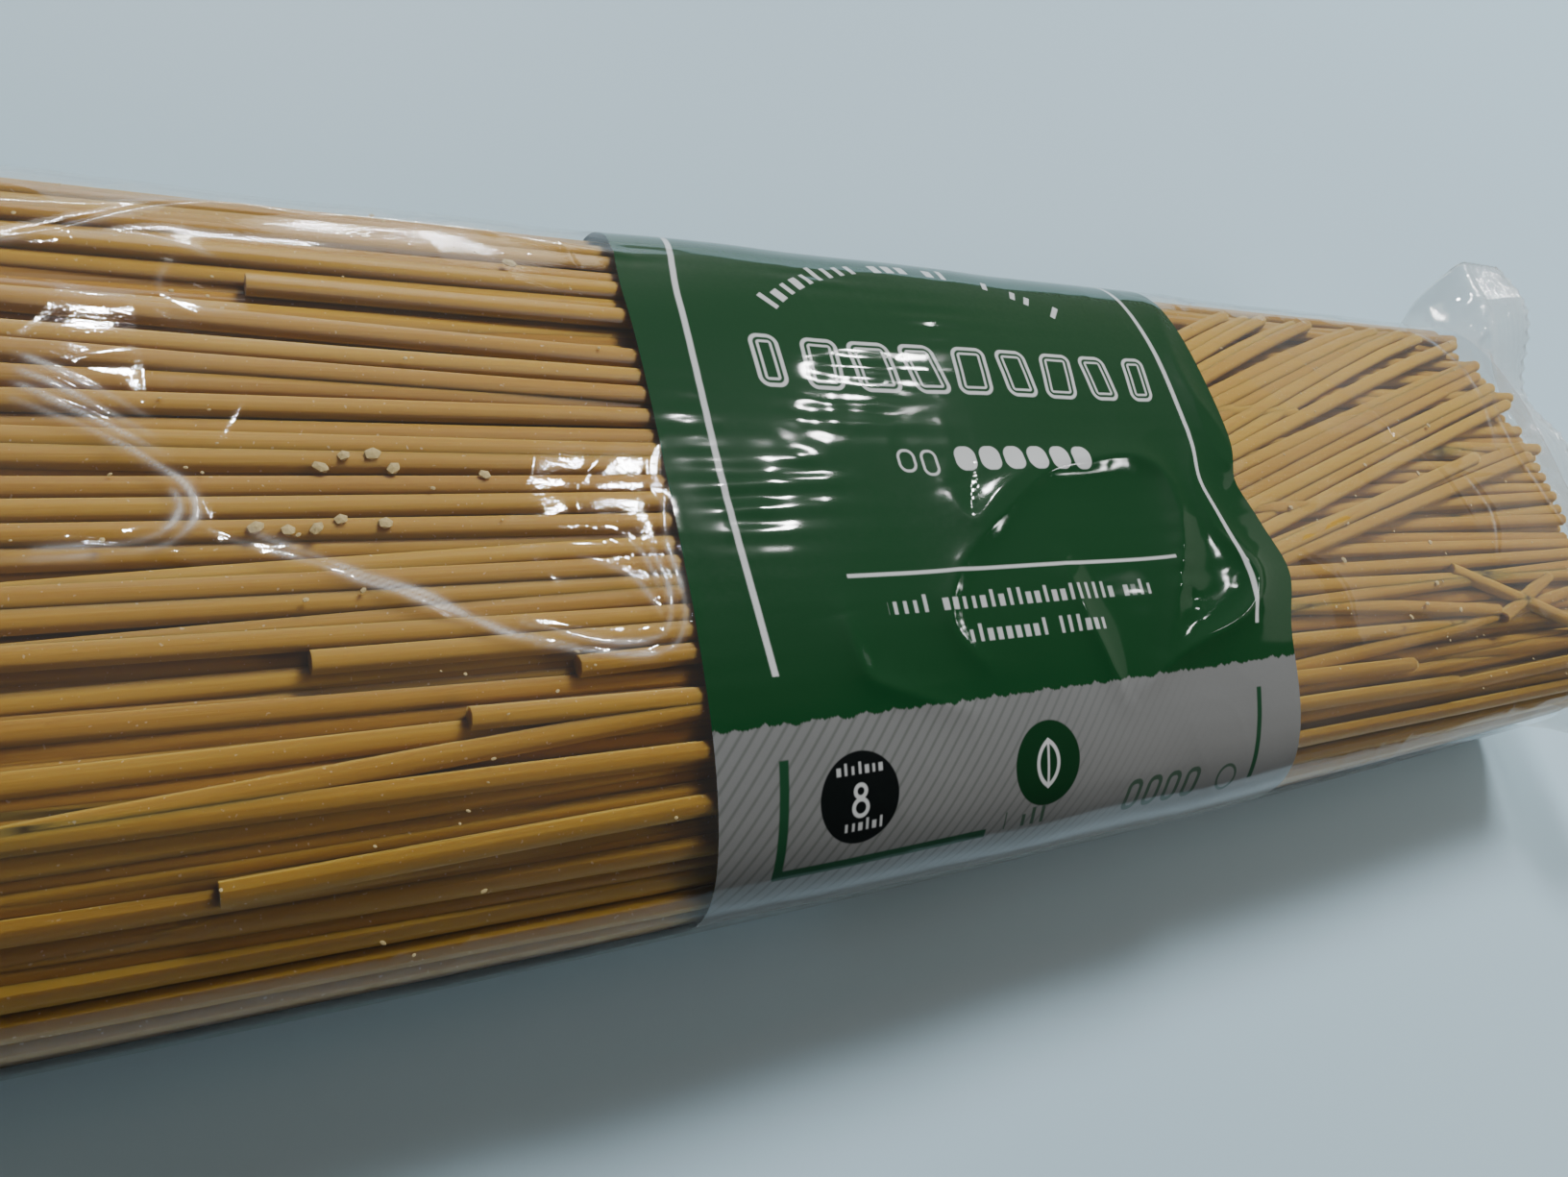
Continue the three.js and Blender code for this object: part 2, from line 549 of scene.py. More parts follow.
RIGHT_SEAL_HEIGHT = 23
LEFT_SEAL_HEIGHT = 15
CRIMP_HEIGHT, CRIMP_PITCH = 0.16, 1.5
LAYER_GAP = 0.12  # half the gap between a seal's two layers
TOOTH_DEPTH, TOOTH_PITCH = 1.2, 2.35


def seal_height(x, v):
    """An end seal laid flat: the place across it, and its height, lifted at the right end."""
    flat = np.where(abs(v) <= SIDE_FOLD, v, np.sign(v) * 2 * SIDE_FOLD - v)
    past = abs(x) - SEAL_START
    out = smooth(past / SEAL_LENGTH)
    right = RIGHT_SEAL_HEIGHT + 5 * flat / HALF_FLAT + 1.2 * out * np.sin(flat / 5)
    right = right + 1.2 * np.sin(flat / 7 + 2.1) + 0.6 * np.sin(flat / 3.4 + 4.2)
    left = LEFT_SEAL_HEIGHT - 2.5 * flat / HALF_FLAT + 1.5 * out * np.sin(flat / 6 + 2)
    left = left + 1.5 * np.sin(flat / 7 + 0.6)
    crimp = CRIMP_HEIGHT * np.sin(2 * pi * past / CRIMP_PITCH) * smooth(past / 0.8)
    inward = SIDE_FOLD - abs(v)
    layer = LAYER_GAP * np.sign(inward) * np.minimum(1, abs(inward) / 1.5)
    return flat, np.where(x > 0, right, left) + crimp + layer


def film(x, v):
    """The film's points for arrays of x, along the packet, and v, round it from the crown."""
    y, z, normal_y, normal_z = on_body(x, v)
    rise = slack(x, v)
    closing = np.clip((abs(x) - HALF_STICK) / (SEAL_START - HALF_STICK), 0, 1)
    y = y + normal_y * rise
    z = z + normal_z * rise
    flat_y, flat_z = seal_height(x, v)
    shut = smooth(closing)
    spread = np.sin(pi / 2 * closing)
    pleat = (0.9 * ripples(0.3 * x, v, 7, 8) + 0.6 * ripples(x, v, 4, 9)) * 4 * shut * (1 - shut)
    y = y + (flat_y - y) * spread
    z = z + (flat_z - z) * shut + 0.6 * pleat
    tooth = abs((v / TOOTH_PITCH) % 1 - 0.5) * 2
    cut = smooth((abs(x) - HALF_LENGTH + 1.6) / 1.6) * tooth * TOOTH_DEPTH
    out = x - np.sign(x) * cut + shift(x, v, y) + 0.4 * pleat * (1 - shut)
    out = np.clip(out, -HALF_LENGTH, HALF_LENGTH)
    return np.stack([out, np.clip(y, -HALF_FLAT, HALF_FLAT), np.clip(z, 0, CROWN)], -1)


def sheet_mesh(name, blocks):
    """One mesh from blocks of the film, each given by its x and v places in millimetres."""
    verts, faces, uvs, crease_white_and_glint = [], [], [], []
    first = 0
    for xs, vs in blocks:
        x, v = np.meshgrid(xs, vs, indexing="ij")
        verts.append(film(x, v).reshape(-1, 3))
        faces.append(quads(first + np.arange(x.size).reshape(x.shape)))
        uvs.append(np.stack([x.ravel(), v.ravel()], -1) * MM)
        crease_white_and_glint.append(whitening(x, v).ravel())
        first += x.size
    verts, faces, uvs, crease_white_and_glint = (np.concatenate(part) for part in (verts, faces, uvs, crease_white_and_glint))
    mesh = plain_mesh(name, verts, faces=faces.tolist(), whitening=crease_white_and_glint)
    layer = mesh.uv_layers.new(name="film")
    layer.data.foreach_set("uv", uvs[faces.ravel()].ravel())
    mesh.shade_smooth()
    mesh.validate()
    return mesh


def span(low, high, pitch):
    return np.linspace(low, high, max(2, ceil((high - low) / pitch) + 1))


# ---------------------------------------------------------------- the sticks


ROOM_ABOVE = 0.4  # between the film and the sticks
ROOM_BESIDE = 0.7
TILT = (1.4, 0.4)  # how far a stick's end usually strays from its middle, across and up
SETTLING_ROUNDS = 150
PUSH = 0.42  # the share of an overlap that each round undoes


def pack_sticks(count, diameter, seed):
    """Lets straight sticks settle into the body: each one's y and z as a bow along x."""
    rng = np.random.default_rng(seed)
    half_height = (FILM_TOP - SEAM_PROUD) / 2 - ROOM_ABOVE - diameter / 2
    half_width = HALF_WIDTH - ROOM_BESIDE - diameter / 2
    t = np.linspace(-1, 1, 5)
    basis = np.stack([np.ones(5), t, t**2], -1)
    fit = basis @ np.linalg.pinv(basis)
    turn = rng.uniform(0, 2 * pi, count)
    reach = np.sqrt(rng.uniform(0, 1, count))
    start = np.stack([reach * np.cos(turn) * half_width, reach * np.sin(turn) * half_height], -1)
    tilt = rng.normal(0, 1, (count, 2)) * TILT
    places = start[None] + t[:, None, None] * tilt[None]
    widths = half_width - END_NARROWING * t**2
    for _ in range(SETTLING_ROUNDS):
        for k in range(5):
            gap = places[k][:, None] - places[k][None]
            away = np.hypot(gap[..., 0], gap[..., 1])
            np.fill_diagonal(away, np.inf)
            push = np.clip(diameter - away, 0, None) / away
            places[k] += PUSH * (gap * push[..., None]).sum(1)
            out = reach_out(*places[k].T, widths[k], half_height)
            places[k] /= np.maximum(out, 1)[:, None]
        places = np.tensordot(fit, places, 1)
    # A stick that still bulges past the film is drawn in as a whole.
    out = reach_out(*np.moveaxis(places, -1, 0), widths[:, None], half_height)
    places /= np.maximum(out.max(0), 1)[None, :, None]
    bows = np.tensordot(np.linalg.pinv(basis), places, 1)
    bows[0, :, 1] += MIDDLE
    bows[2, :, 0] += END_BOW
    return bows


def stick_place(bow, x):
    """The y and z of one settled stick at each x, or of every stick at one x."""
    t = np.asarray(x, float)[..., None] / HALF_STICK
    return bow[0] + t * bow[1] + t**2 * bow[2]


# Where sticks in the top layer start, because they have slipped or snapped: x and v.
STARTS = ((-58.4, -19.1), (-48.6, -17), (-69.8, -15.2), (-71.3, -31.4), (-77.2, -34), (-71, 21))
# Where others stop, to the right of the print.
STOPS = ((72, -29), (82, -31), (96, -22), (60, -4), (66, 12))
SLIPPED_AT = 86.0


def surface_point(x, v, depth=0.0):
    """A point that lies depth below the film's smooth body."""
    y, z, normal_y, normal_z = on_body(np.array(float(x)), np.array(float(v)))
    return np.array([x, y - depth * normal_y, z - depth * normal_z])


def bundle_lines(bows, rng):
    """The centre line of every whole stick, some cut short in the top layer."""
    lows = -HALF_STICK + rng.normal(0, 0.45, bows.shape[1])
    highs = HALF_STICK + rng.normal(0, 0.45, bows.shape[1])
    for places, ends in ((STARTS, lows), (STOPS, highs)):
        for x, v in places:
            away = stick_place(bows, x) - surface_point(x, v)[1:]
            ends[np.hypot(*away.T).argmin()] = x
    # A slipped layer to the right of the print makes room for the broken sticks.
    y, z = stick_place(bows, SLIPPED_AT).T
    under = top_height(SLIPPED_AT, y) - z
    slipped = (under < 2.5) & (y > -11) & (highs > 100)
    highs[slipped] = rng.uniform(22, 40, slipped.sum())
    lines = []
    for k in range(bows.shape[1]):
        x = np.linspace(lows[k], highs[k], 7)
        lines.append(np.concatenate([x[:, None], stick_place(bows[:, k], x)], -1))
    return lines


def top_height(x, across):
    """The body's height at x, at each place across it."""
    v = np.linspace(-SIDE_FOLD, SIDE_FOLD, 181)
    y, z, _, _ = on_body(np.full(v.shape, x), v)
    coarse = np.linspace(-HALF_WIDTH, HALF_WIDTH, 61)
    return np.interp(across, coarse, np.interp(coarse, y, z))


FAN_COUNT = 19
# Snapped sticks that cross the fan: x and v of both ends, and how deep they lie.
CROSSING = (
    ((46.6, -9.5), (106, 4.5), 0.95),
    ((86, -14.2), (127, -30), 1.1),
    ((112, -17.5), (96, -23), 1.1),
)


def broken_lines(rng):
    """Snapped sticks that lie askew on the bundle, fanned out to the right of the print."""
    lines = []
    for k in range(FAN_COUNT):
        slope = 0.24 + 0.012 * k + rng.normal(0, 0.02)
        v = -11 + 1.95 * k + rng.normal(0, 0.15)
        end = min(125 + rng.normal(0, 1.2), 45 + (33.5 - v) / slope)
        start = 34 + rng.uniform(0, 4)
        if end - start < 12:
            continue
        x = np.linspace(start, end, 6)
        depth = 1.35 + 0.35 * (k % 2)
        lines.append(np.stack([surface_point(a, v + slope * (a - 45), depth) for a in x]))
    for start, end, depth in CROSSING:
        x = np.linspace(0, 1, 5)[:, None] * (np.array(end) - start) + start
        lines.append(np.stack([surface_point(a, v, depth) for a, v in x]))
    return lines


CORE_DEPTH = 3.1
CORE_PITCH = 1.95


def core_mesh():
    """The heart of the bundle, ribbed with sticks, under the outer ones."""
    x = span(-HALF_STICK + 4, HALF_STICK - 4, 8)
    v = span(-2 * SIDE_FOLD, 2 * SIDE_FOLD, 0.25)[:-1]
    x, v = np.meshgrid(x, v, indexing="ij")
    y, z, normal_y, normal_z = on_body(x, v)
    sticks = 0.8 * abs(np.cos(pi * (v + 0.012 * x) / CORE_PITCH)) ** 0.5
    depth = CORE_DEPTH + 1.6 * smooth((x - 18) / 14) - sticks
    verts = np.stack([x, y - depth * normal_y, z - depth * normal_z], -1)
    index = np.arange(x.size).reshape(x.shape)
    caps = [index[0].tolist(), index[-1, ::-1].tolist()]
    around = quads(np.concatenate([index, index[:, :1]], 1)).tolist()
    mesh = plain_mesh("core", verts.reshape(-1, 3), faces=around + caps)
    mesh.shade_smooth()
    mesh.validate()
    return mesh


def guide_mesh(name, lines, rng):
    """The sticks' centre lines as edges, with each stick's own thickness and tone."""
    sizes = [len(line) for line in lines]
    starts = np.cumsum([0] + sizes[:-1])
    edges = [(a + i, a + i + 1) for a, size in zip(starts, sizes) for i in range(size - 1)]
    thickness = np.repeat(rng.normal(1, 0.02, len(lines)), sizes)
    tone = np.repeat(rng.uniform(0, 1, len(lines)), sizes)
    return plain_mesh(name, np.concatenate(lines), edges, thickness=thickness, tone=tone)


def stick_maker():
    """Geometry Nodes that turn centre lines into round sticks with cut ends."""
    maker = Maker("Sticks along lines")
    maker.ask("Diameter", "Float", 2 * MM)
    maker.ask("Sides", "Int", 8)
    maker.ask("Material", "Material", None)
    lines = maker.start()
    curves = maker.node("MeshToCurve", sockets={"Mesh": lines}).outputs[0]
    thickness = maker.node("InputNamedAttribute", {"data_type": "FLOAT"}, {"Name": "thickness"})
    halving = {0: maker.asked("Diameter"), 1: 0.5}
    half = maker.node("ShaderNodeMath", {"operation": "MULTIPLY"}, halving).outputs[0]
    ring = {"Resolution": maker.asked("Sides"), "Radius": half}
    circle = maker.node("CurvePrimitiveCircle", sockets=ring)
    swept = {"Curve": curves, "Profile Curve": circle.outputs[0], "Scale": thickness.outputs[0]}
    sweep = maker.node("CurveToMesh", sockets={**swept, "Fill Caps": True})
    smooth_sides = maker.node("SetShadeSmooth", sockets={"Geometry": sweep.outputs[0]})
    angle = maker.node("InputMeshEdgeAngle").outputs["Unsigned Angle"]
    sharp = maker.node("FunctionNodeCompare", sockets={0: angle, 1: radians(65)})
    crisp = maker.node(
        "SetShadeSmooth",
        {"domain": "EDGE"},
        {"Geometry": smooth_sides.outputs[0], "Selection": sharp.outputs[0], "Shade Smooth": False},
    )
    maker.finish(crisp.outputs[0])
    return maker


# ---------------------------------------------------------------- crumbs

# Flakes under the film, by x and v: larger ones left of the print and smaller ones right of it.
LARGE_FLAKES = (
    (-67.4, 3.1), (-65.5, 4.2), (-63.2, 4.4), (-61.7, 3), (-72.7, -2.4), (-70.4, -2.7),
    (-68.3, -2.6), (-66.4, -1.8), (-63, -2.2), (-54.1, 2.4), (-47, 28),
)
SMALL_FLAKES = (
    (96.5, 10.5), (74.9, 3.3), (87.4, 1.7), (53.9, -3.2), (64.8, -6), (82.6, -9.9),
    (60.8, -11.5), (76.4, -19.2), (71.7, -20.8), (84.2, -20.8), (80.4, -16.3),
)
# Fine crumbs: how far along the packet each lot reaches, and how many there are.
FINE_CRUMBS = ((-126, -40, 70), (50, 126, 90))


def crumb_guide(rng):
    """Where the flakes and crumbs lie, with the size of each in millimetres."""
    points = [surface_point(x, v, 0.35) for x, v in LARGE_FLAKES + SMALL_FLAKES]
    sizes = [0.62] * len(LARGE_FLAKES) + [0.42] * len(SMALL_FLAKES)
    for low, high, count in FINE_CRUMBS:
        for _ in range(count):
            x, v = rng.uniform(low, high), rng.uniform(-40, 36)
            points.append(surface_point(x, v, 0.3))
            sizes.append(rng.uniform(0.1, 0.24))
    return plain_mesh("crumbs", np.stack(points), size=sizes)


def crumb_maker():
    """Geometry Nodes that put a small turned flake on each point."""
    maker = Maker("Crumbs on points")
    maker.ask("Unit", "Float", MM)
    maker.ask("Seed", "Int", 3)
    maker.ask("Material", "Material", None)
    points = maker.start()
    flake = maker.node("MeshIcoSphere", sockets={"Radius": maker.asked("Unit"), "Subdivisions": 1})
    size = maker.node("InputNamedAttribute", {"data_type": "FLOAT"}, {"Name": "size"})
    kind, choices = "FunctionNodeRandomValue", {"data_type": "FLOAT_VECTOR"}
    shape, turn = (
        maker.node(kind, choices, {"Seed": maker.asked("Seed"), 0: least, 1: most})
        for least, most in (
            ((0.9, 0.7, 0.25), (1.5, 1.1, 0.4)),
            ((-0.2, -0.2, -0.9), (0.2, 0.2, 0.9)),
        )
    )
    sizing = {0: shape.outputs[0], "Scale": size.outputs[0]}
    scale = maker.node("ShaderNodeVectorMath", {"operation": "SCALE"}, sizing)
    strewn = {"Points": points, "Instance": flake.outputs[0], "Rotation": turn.outputs[0]}
    strewn["Scale"] = scale.outputs[0]
    maker.finish(maker.node("InstanceOnPoints", sockets=strewn).outputs[0])
    return maker


# ---------------------------------------------------------------- finishes


BUNDLE_MIDDLE = (0, 0, 0.0155)
BUNDLE_CURVE = (0, 26.3, 67)  # one over half its width and half its height
SHARED_SHADE = 2.2  # how strongly a stick shades with the bundle


def pasta_finish(name, paler=0.0):
    """Dry durum wheat: amber, streaked along the stick, a little see-through and satin."""
    look = Finish(name)
    s = settings()
    tone = look.value(look.node("Attribute", {"attribute_name": "tone"}), 2)
    streak = look.noise(look.place((0.06, 2.4, 2.4)), 900, 3)
    patch = look.noise(look.place(), 35, 2)
    share = tone * 0.45 + streak * 0.35 + patch * 0.5 + (paler - 0.2)
    speck = look.step(look.noise(look.place(), 2600, 1), 0.74, 0.03)
    colour = look.mix(share.least(1).most(0), (*s.pasta_deep, 1), (*s.pasta_pale, 1))
    colour = look.mix(speck * 0.35, colour, (0.9, 0.78, 0.55, 1))
    # Light passes from stick to stick, so they shade partly as one body.
    body = look.vector("SUBTRACT", look.place(), BUNDLE_MIDDLE)
    body = look.vector("MULTIPLY", body, BUNDLE_CURVE)
    body = look.vector("NORMALIZE", look.vector("MULTIPLY", body, look.vector("ABSOLUTE", body)))
    body = look.vector("MULTIPLY", body, (SHARED_SHADE,) * 3)
    own = look.node("NewGeometry").outputs["Normal"]
    shared = look.vector("NORMALIZE", look.vector("ADD", own, body))
    sockets = {
        "Base Color": colour,
        "Roughness": 0.34 + streak * 0.2,
        "Normal": look.bump(streak, 0.00004, normal=shared),
        "Subsurface Weight": 0.9,
        "Subsurface Radius": (0.7, 0.65, 0.4),
        "Subsurface Scale": 0.002,
        "Specular IOR Level": 0.3,
    }
    return look.done(look.principled(sockets))


def crumb_finish():
    """Floury flakes of broken pasta."""
    look = Finish("pasta crumbs")
    grain = look.noise(look.place(), 3000, 2)
    colour = look.mix(grain, (0.50, 0.37, 0.14, 1), (0.66, 0.52, 0.26, 1))
    rough = look.bump(grain, 0.00005)
    sockets = {"Base Color": colour, "Roughness": 0.6 + grain * 0.2, "Normal": rough}
    return look.done(look.principled(sockets))


def crinkle_normal(look, strength):
    """The finest grain of thin film, too small to model."""
    fine = look.noise(look.place((0.5, 1, 1)), 3200, 2, 0.6)
    broad = look.noise(look.place((0.6, 1, 1)), 420, 2, 0.5)
    return look.bump(fine * 0.45 + broad * 0.7, 0.00006, strength)


def clear_finish(name, haze, crinkle):
    """Thin clear film: mostly open, glossy at a slant, and white along its sharp folds, partly as
    real stress whitening and partly as painted highlight.
    """
    look = Finish(name)
    normal = crinkle_normal(look, crinkle)
    facing = look.value(look.node("LayerWeight", sockets={"Blend": 0.5, "Normal": normal}), 1)
    gloss = facing**5 * 0.7 + 0.05
    cloud = look.noise(look.place(), 28, 2)
    # Along the creases the veil turns white: partly real stress whitening, partly painted
    # highlight.
    crease_white_and_glint = look.value(look.node("Attribute", {"attribute_name": "whitening"}), 2)
    grain = look.noise(look.place((0.3, 1, 1)), 1500, 2)
    veil = cloud * haze + crease_white_and_glint * (grain * 0.9 + 0.2)
    milky = {"Base Color": (0.92, 0.91, 0.88, 1), "Roughness": 0.5, "Specular IOR Level": 0.2}
    clear = look.node("BsdfTransparent", sockets={"Color": (0.97, 0.975, 0.97, 1)}).outputs[0]
    veiled = look.blend(veil.least(1), clear, look.principled(milky))
    polish = {"Color": (1, 1, 1, 1), "Roughness": 0.05, "Normal": normal}
    shine = look.node("BsdfGlossy", sockets=polish).outputs[0]
    return look.done(look.blend(gloss.least(1), veiled, shine))


def line(look, value, middle, half, soft=0.12):
    """1 within half of middle, and 0 beyond it."""
    return 1 - look.step(abs(value - middle), half, soft)


def block(u, v, place, size, round_by=0.0):
    """Signed distance from a rounded rectangle round place, half as large as size each way."""
    across = (abs(u - place[0]) - (size[0] / 2 - round_by)).most(0)
    up = (abs(v - place[1]) - (size[1] / 2 - round_by)).most(0)
    return (across**2 + up**2) ** 0.5 - round_by


def disc(u, v, place, radius):
    """Distance outwards from a circle's edge."""
    return ((u - place[0]) ** 2 + (v - place[1]) ** 2) ** 0.5 - radius


def inside(look, distance, soft=0.1):
    return 1 - look.step(distance, 0, soft)


def outline(look, distance, middle, half):
    return line(look, distance, middle, half, 0.1)


def chance(look, cell, salt):
    """A fixed random number for each whole-numbered cell."""
    node = look.node("TexWhiteNoise", {"noise_dimensions": "1D"}, {"W": cell + salt})
    return look.value(node)


def bead_row(look, u, v, row, left, right, height, pitch):
    """A row of small blocks of two heights, broken into groups, for a line of small print."""
    cell = (u / pitch).math("FLOOR")
    along = (u / pitch - cell - 0.5) * pitch
    pick = chance(look, cell, row)
    tall = look.step(pick, 0.66, 0.01) * height * 0.22 + height * 0.5
    wide = pitch * 0.3 - look.step(pick, 0.4, 0.01) * pitch * 0.12
    drawn = inside(look, abs(along) - wide)
    drawn = drawn * inside(look, abs(v - row - tall + height * 0.5) - tall)
    words = look.step(chance(look, cell, row + 60), 0.15, 0.01)
    ends = line(look, u, (left + right) / 2, (right - left) / 2)
    return drawn * words * ends


def small_print(look, u, v, height, pitch, *rows):
    """Rows of small blocks, each row with its middle and both its ends."""
    return sum(bead_row(look, u, v, *row, height, pitch) for row in rows)


def token_row(look, u, v, left, pitch, count, row, height):
    """A row of outlined tokens, each a plain block or post, upright or leaning."""
    cell = ((u - left) / pitch).math("FLOOR")
    along = (u - left) - (cell + 0.5) * pitch
    wide = 1.8 + chance(look, cell, 4.0) * 1.1
    lean = (v - row) * (chance(look, cell, 9.0) - 0.5) * 0.4
    edge = block(along - lean, v, (0, row), (wide * 2, height), 1.3)
    drawn = outline(look, edge, -0.22, 0.24) + outline(look, edge, -1.0, 0.16)
    middle = left + pitch * count / 2
    return drawn * line(look, u, middle, pitch * count / 2, 0.01)


HATCH_INK = (0.11, 0.12, 0.11, 1)
DARK_GREEN_INK = (0.010, 0.06, 0.025, 1)
DISC_GREEN = (0.002, 0.034, 0.010, 1)
DISC_BLACK = (0.0035, 0.0045, 0.0055, 1)
DISC_WHITE = (0.60, 0.62, 0.62, 1)
BLACK_DISC = (-22, -31.4)
GREEN_DISC = (2.3, -31.3)


def inks():
    """The print's green, white and grey."""
    s = settings()
    return ((*tint, 1) for tint in (s.print_green, s.print_white, s.print_grey))


def front_pattern(look, u, v):
    """The band's fields and plain shapes, as a colour."""
    green, white, grey = inks()
    torn = look.noise(look.node("CombineXYZ", sockets={0: u * 0.55}).outputs[0], 1.0, 4, 0.65)
    pale_field = inside(look, v + 24.7 - torn * 2.4, 0.12)
    hatch = line(look, ((u * 0.77 - v * 0.64) / 1.16).wrap(0, 1), 0.5, 0.13, 0.12)
    fade = look.step(0 - u, -10, 24) * look.step(v, -40.5, 2.5)
    paper = look.mix(hatch * fade * 0.7, grey, HATCH_INK)
    colour = look.mix(pale_field, green, paper)

    # White on green: two rules, an arc of beads, a row of outlined tokens and small bars.
    bow = (v - 9) ** 2 * 0.0019
    rules = line(look, u - bow, -31.3, 0.34) + line(look, u - bow * 0.6, 37.9, 0.34)
    rules = rules * look.step(v, -18.9, 0.1)
    rule = line(look, v, -9.35, 0.2) * line(look, u, 4.2, 23.9)
    turn = (u - 3.5).math("ARCTAN2", v - 2) * 32.4
    arc = disc(u, v, (3.5, 2), 32.4)
    beads = bead_row(look, turn, arc, 0, -26.8, 24.2, 1.9, 2.05)
    tokens = token_row(look, u, v, -25.8, 6.86, 9, 16.4, 7.0)
    thin = outline(look, block(u, v, (-8.2, 4.0), (2.4, 2.9), 1.1), -0.16, 0.16)
    thin = thin + outline(look, block(u, v, (-5.2, 3.7), (2.2, 3.3), 1.0), -0.16, 0.16)
    bold = inside(look, block((u + 1.9).wrap(0, 3.5) - 1.75, v, (0, 4.2), (2.9, 3.1), 1.2))
    bold = bold * line(look, u, 8.6, 10.4, 0.05)
    small = small_print(look, u, v, 1.35, 1.28, (-13.1, -15.6, 22.6), (-16.8, -6.4, 13.9))
    marks = (rules + rule + beads + tokens + thin + bold + small * 0.85).least(1)
    colour = look.mix(marks * (1 - pale_field), colour, white)

    # On the pale field: an open bracket, two discs and a row of bars.
    left = line(look, u - (v + 32) * 0.05, -30.4, 0.5)
    right = line(look, u - (v + 32) * 0.06, 37.4, 0.42)
    foot = line(look, v, -37.9, 0.5) * line(look, u, -18.4, 12.7)
    bracket = ((left + right) * line(look, v, -32.5, 5.7) + foot).least(1)
    slot = (u - 14.6 - (v + 37) * 0.2).wrap(0, 3.3) - 1.65
    leaning = outline(look, block(slot, v, (0, -37.1), (2.5, 3.9), 1.1), -0.32, 0.3)
    leaning = leaning * line(look, u, 21.2, 6.5, 0.05)
    ring = outline(look, disc(u, v, (32.4, -37.4), 1.8), -0.2, 0.2)
    label = bead_row(look, u, v, -37.2, -3.3, 5.3, 1.4, 1.35)
    dark = (bracket + (leaning + ring + label) * 0.8).least(1)
    colour = look.mix(dark * pale_field, colour, DARK_GREEN_INK)
    for place, radius, ink in ((BLACK_DISC, 4.5, DISC_BLACK), (GREEN_DISC, 4.6, DISC_GREEN)):
        colour = look.mix(inside(look, disc(u, v, place, radius)), colour, ink)
    # A plain 8 on the black disc and a leaf on the green one.
    rings = outline(look, disc(u, v, (-22, -30.75), 0.72), -0.12, 0.2)
    rings = rings + outline(look, disc(u, v, (-22, -32.35), 0.92), -0.12, 0.2)
    lens = disc(u, v, (1.0, -31.3), 3.0).most(disc(u, v, (3.6, -31.3), 3.0))
    leaf = outline(look, lens, -0.25, 0.22) + line(look, u, 2.3, 0.15) * inside(look, lens)
    tiny = small_print(look, u, v, 0.8, 0.8, (-28.7, -25.2, -19), (-34.2, -24.6, -19.4))
    return look.mix(((rings + leaf).least(1) + tiny * 0.8).least(1), colour, DISC_WHITE)


def back_pattern(look, u, v):
    """The back: a green field, two pale panels and plain bars, as a colour."""
    green, white, _ = inks()
    round_v = abs(v)
    panel = inside(look, block(u, round_v, (-56, 70), (88, 30), 2))
    grid = line(look, (round_v / 3.75).wrap(0, 1), 0.5, 0.05, 0.02) * 0.7
    colour = look.mix(panel, green, look.mix(grid, white, (0.05, 0.14, 0.09, 1)))
    row = (round_v / 4).wrap(0, 1) * 4
    lines = bead_row(look, u, row, 2, 8, 112, 1.3, 1.35) * line(look, round_v, 70, 15)
    tall = line(look, u, -110, 0.4) + line(look, u, 118, 0.4)
    return look.mix((lines * 0.85 + tall).least(1), colour, white)


def print_finish(name, pattern, crinkle):
    """Ink behind glossy film."""
    look = Finish(name)
    u, v = look.film_place()
    grain = look.noise(look.place(), 1800, 2)
    colour = look.mix(grain * 0.04, pattern(look, u, v), (0.02, 0.08, 0.04, 1))
    sockets = {
        "Base Color": colour,
        "Roughness": 0.42 + grain * 0.15,
        "Normal": crinkle_normal(look, crinkle),
        "Specular IOR Level": 0.1,
        "Coat Weight": 1,
        "Coat Roughness": 0.06,
        "Coat IOR": 1.45,
    }
    return look.done(look.principled(sockets))


def floor_finish():
    look = Finish("floor")
    grain = look.noise(look.place(), 6, 3)
    colour = look.mix(grain * 0.12, (*settings().floor_colour, 1), (0.45, 0.5, 0.55, 1))
    return look.done(look.principled({"Roughness": 0.55, "Base Color": colour}))


# ---------------------------------------------------------------- operators


class PACKET_OT_spaghetti(bpy.types.Operator):
    """Fill the packet with settled sticks of spaghetti"""

    bl_idname = "packet.spaghetti"
    bl_label = "Spaghetti"

    def execute(self, context):
        s = settings()
        rng = np.random.default_rng(s.seed)
        bows = pack_sticks(s.stick_count, s.stick_diameter / MM, s.seed)
        guide = guide_mesh("spaghetti", bundle_lines(bows, rng), rng)
        look = pasta_finish("dry pasta")
        inputs = {"Diameter": s.stick_diameter, "Sides": 8, "Material": look}
        belongs(stick_maker().run("spaghetti", guide, **inputs))
        core = core_mesh()
        # The core gets a darker copy of the pasta: painted shade for the deep gaps between the
        # outer sticks.
        core.materials.append(pasta_finish("dry pasta, packed", -0.15))
        belongs(show(core))
        return {"FINISHED"}


class PACKET_OT_broken_sticks(bpy.types.Operator):
    """Lay snapped sticks askew on the bundle"""

    bl_idname = "packet.broken_sticks"
    bl_label = "Broken sticks"

    def execute(self, context):
        s = settings()
        rng = np.random.default_rng(s.seed + 1)
        guide = guide_mesh("broken_sticks", broken_lines(rng), rng)
        look = pasta_finish("dry pasta, snapped", 0.12)
        inputs = {"Diameter": s.stick_diameter, "Sides": 10, "Material": look}
        belongs(stick_maker().run("broken_sticks", guide, **inputs))
        return {"FINISHED"}


class PACKET_OT_crumbs(bpy.types.Operator):
    """Scatter flakes and crumbs under the film"""

    bl_idname = "packet.crumbs"
    bl_label = "Crumbs"

    def execute(self, context):
        guide = crumb_guide(np.random.default_rng(settings().seed + 2))
        piece = crumb_maker().run("crumbs", guide, Seed=3, Material=crumb_finish())
        belongs(piece)
        return {"FINISHED"}


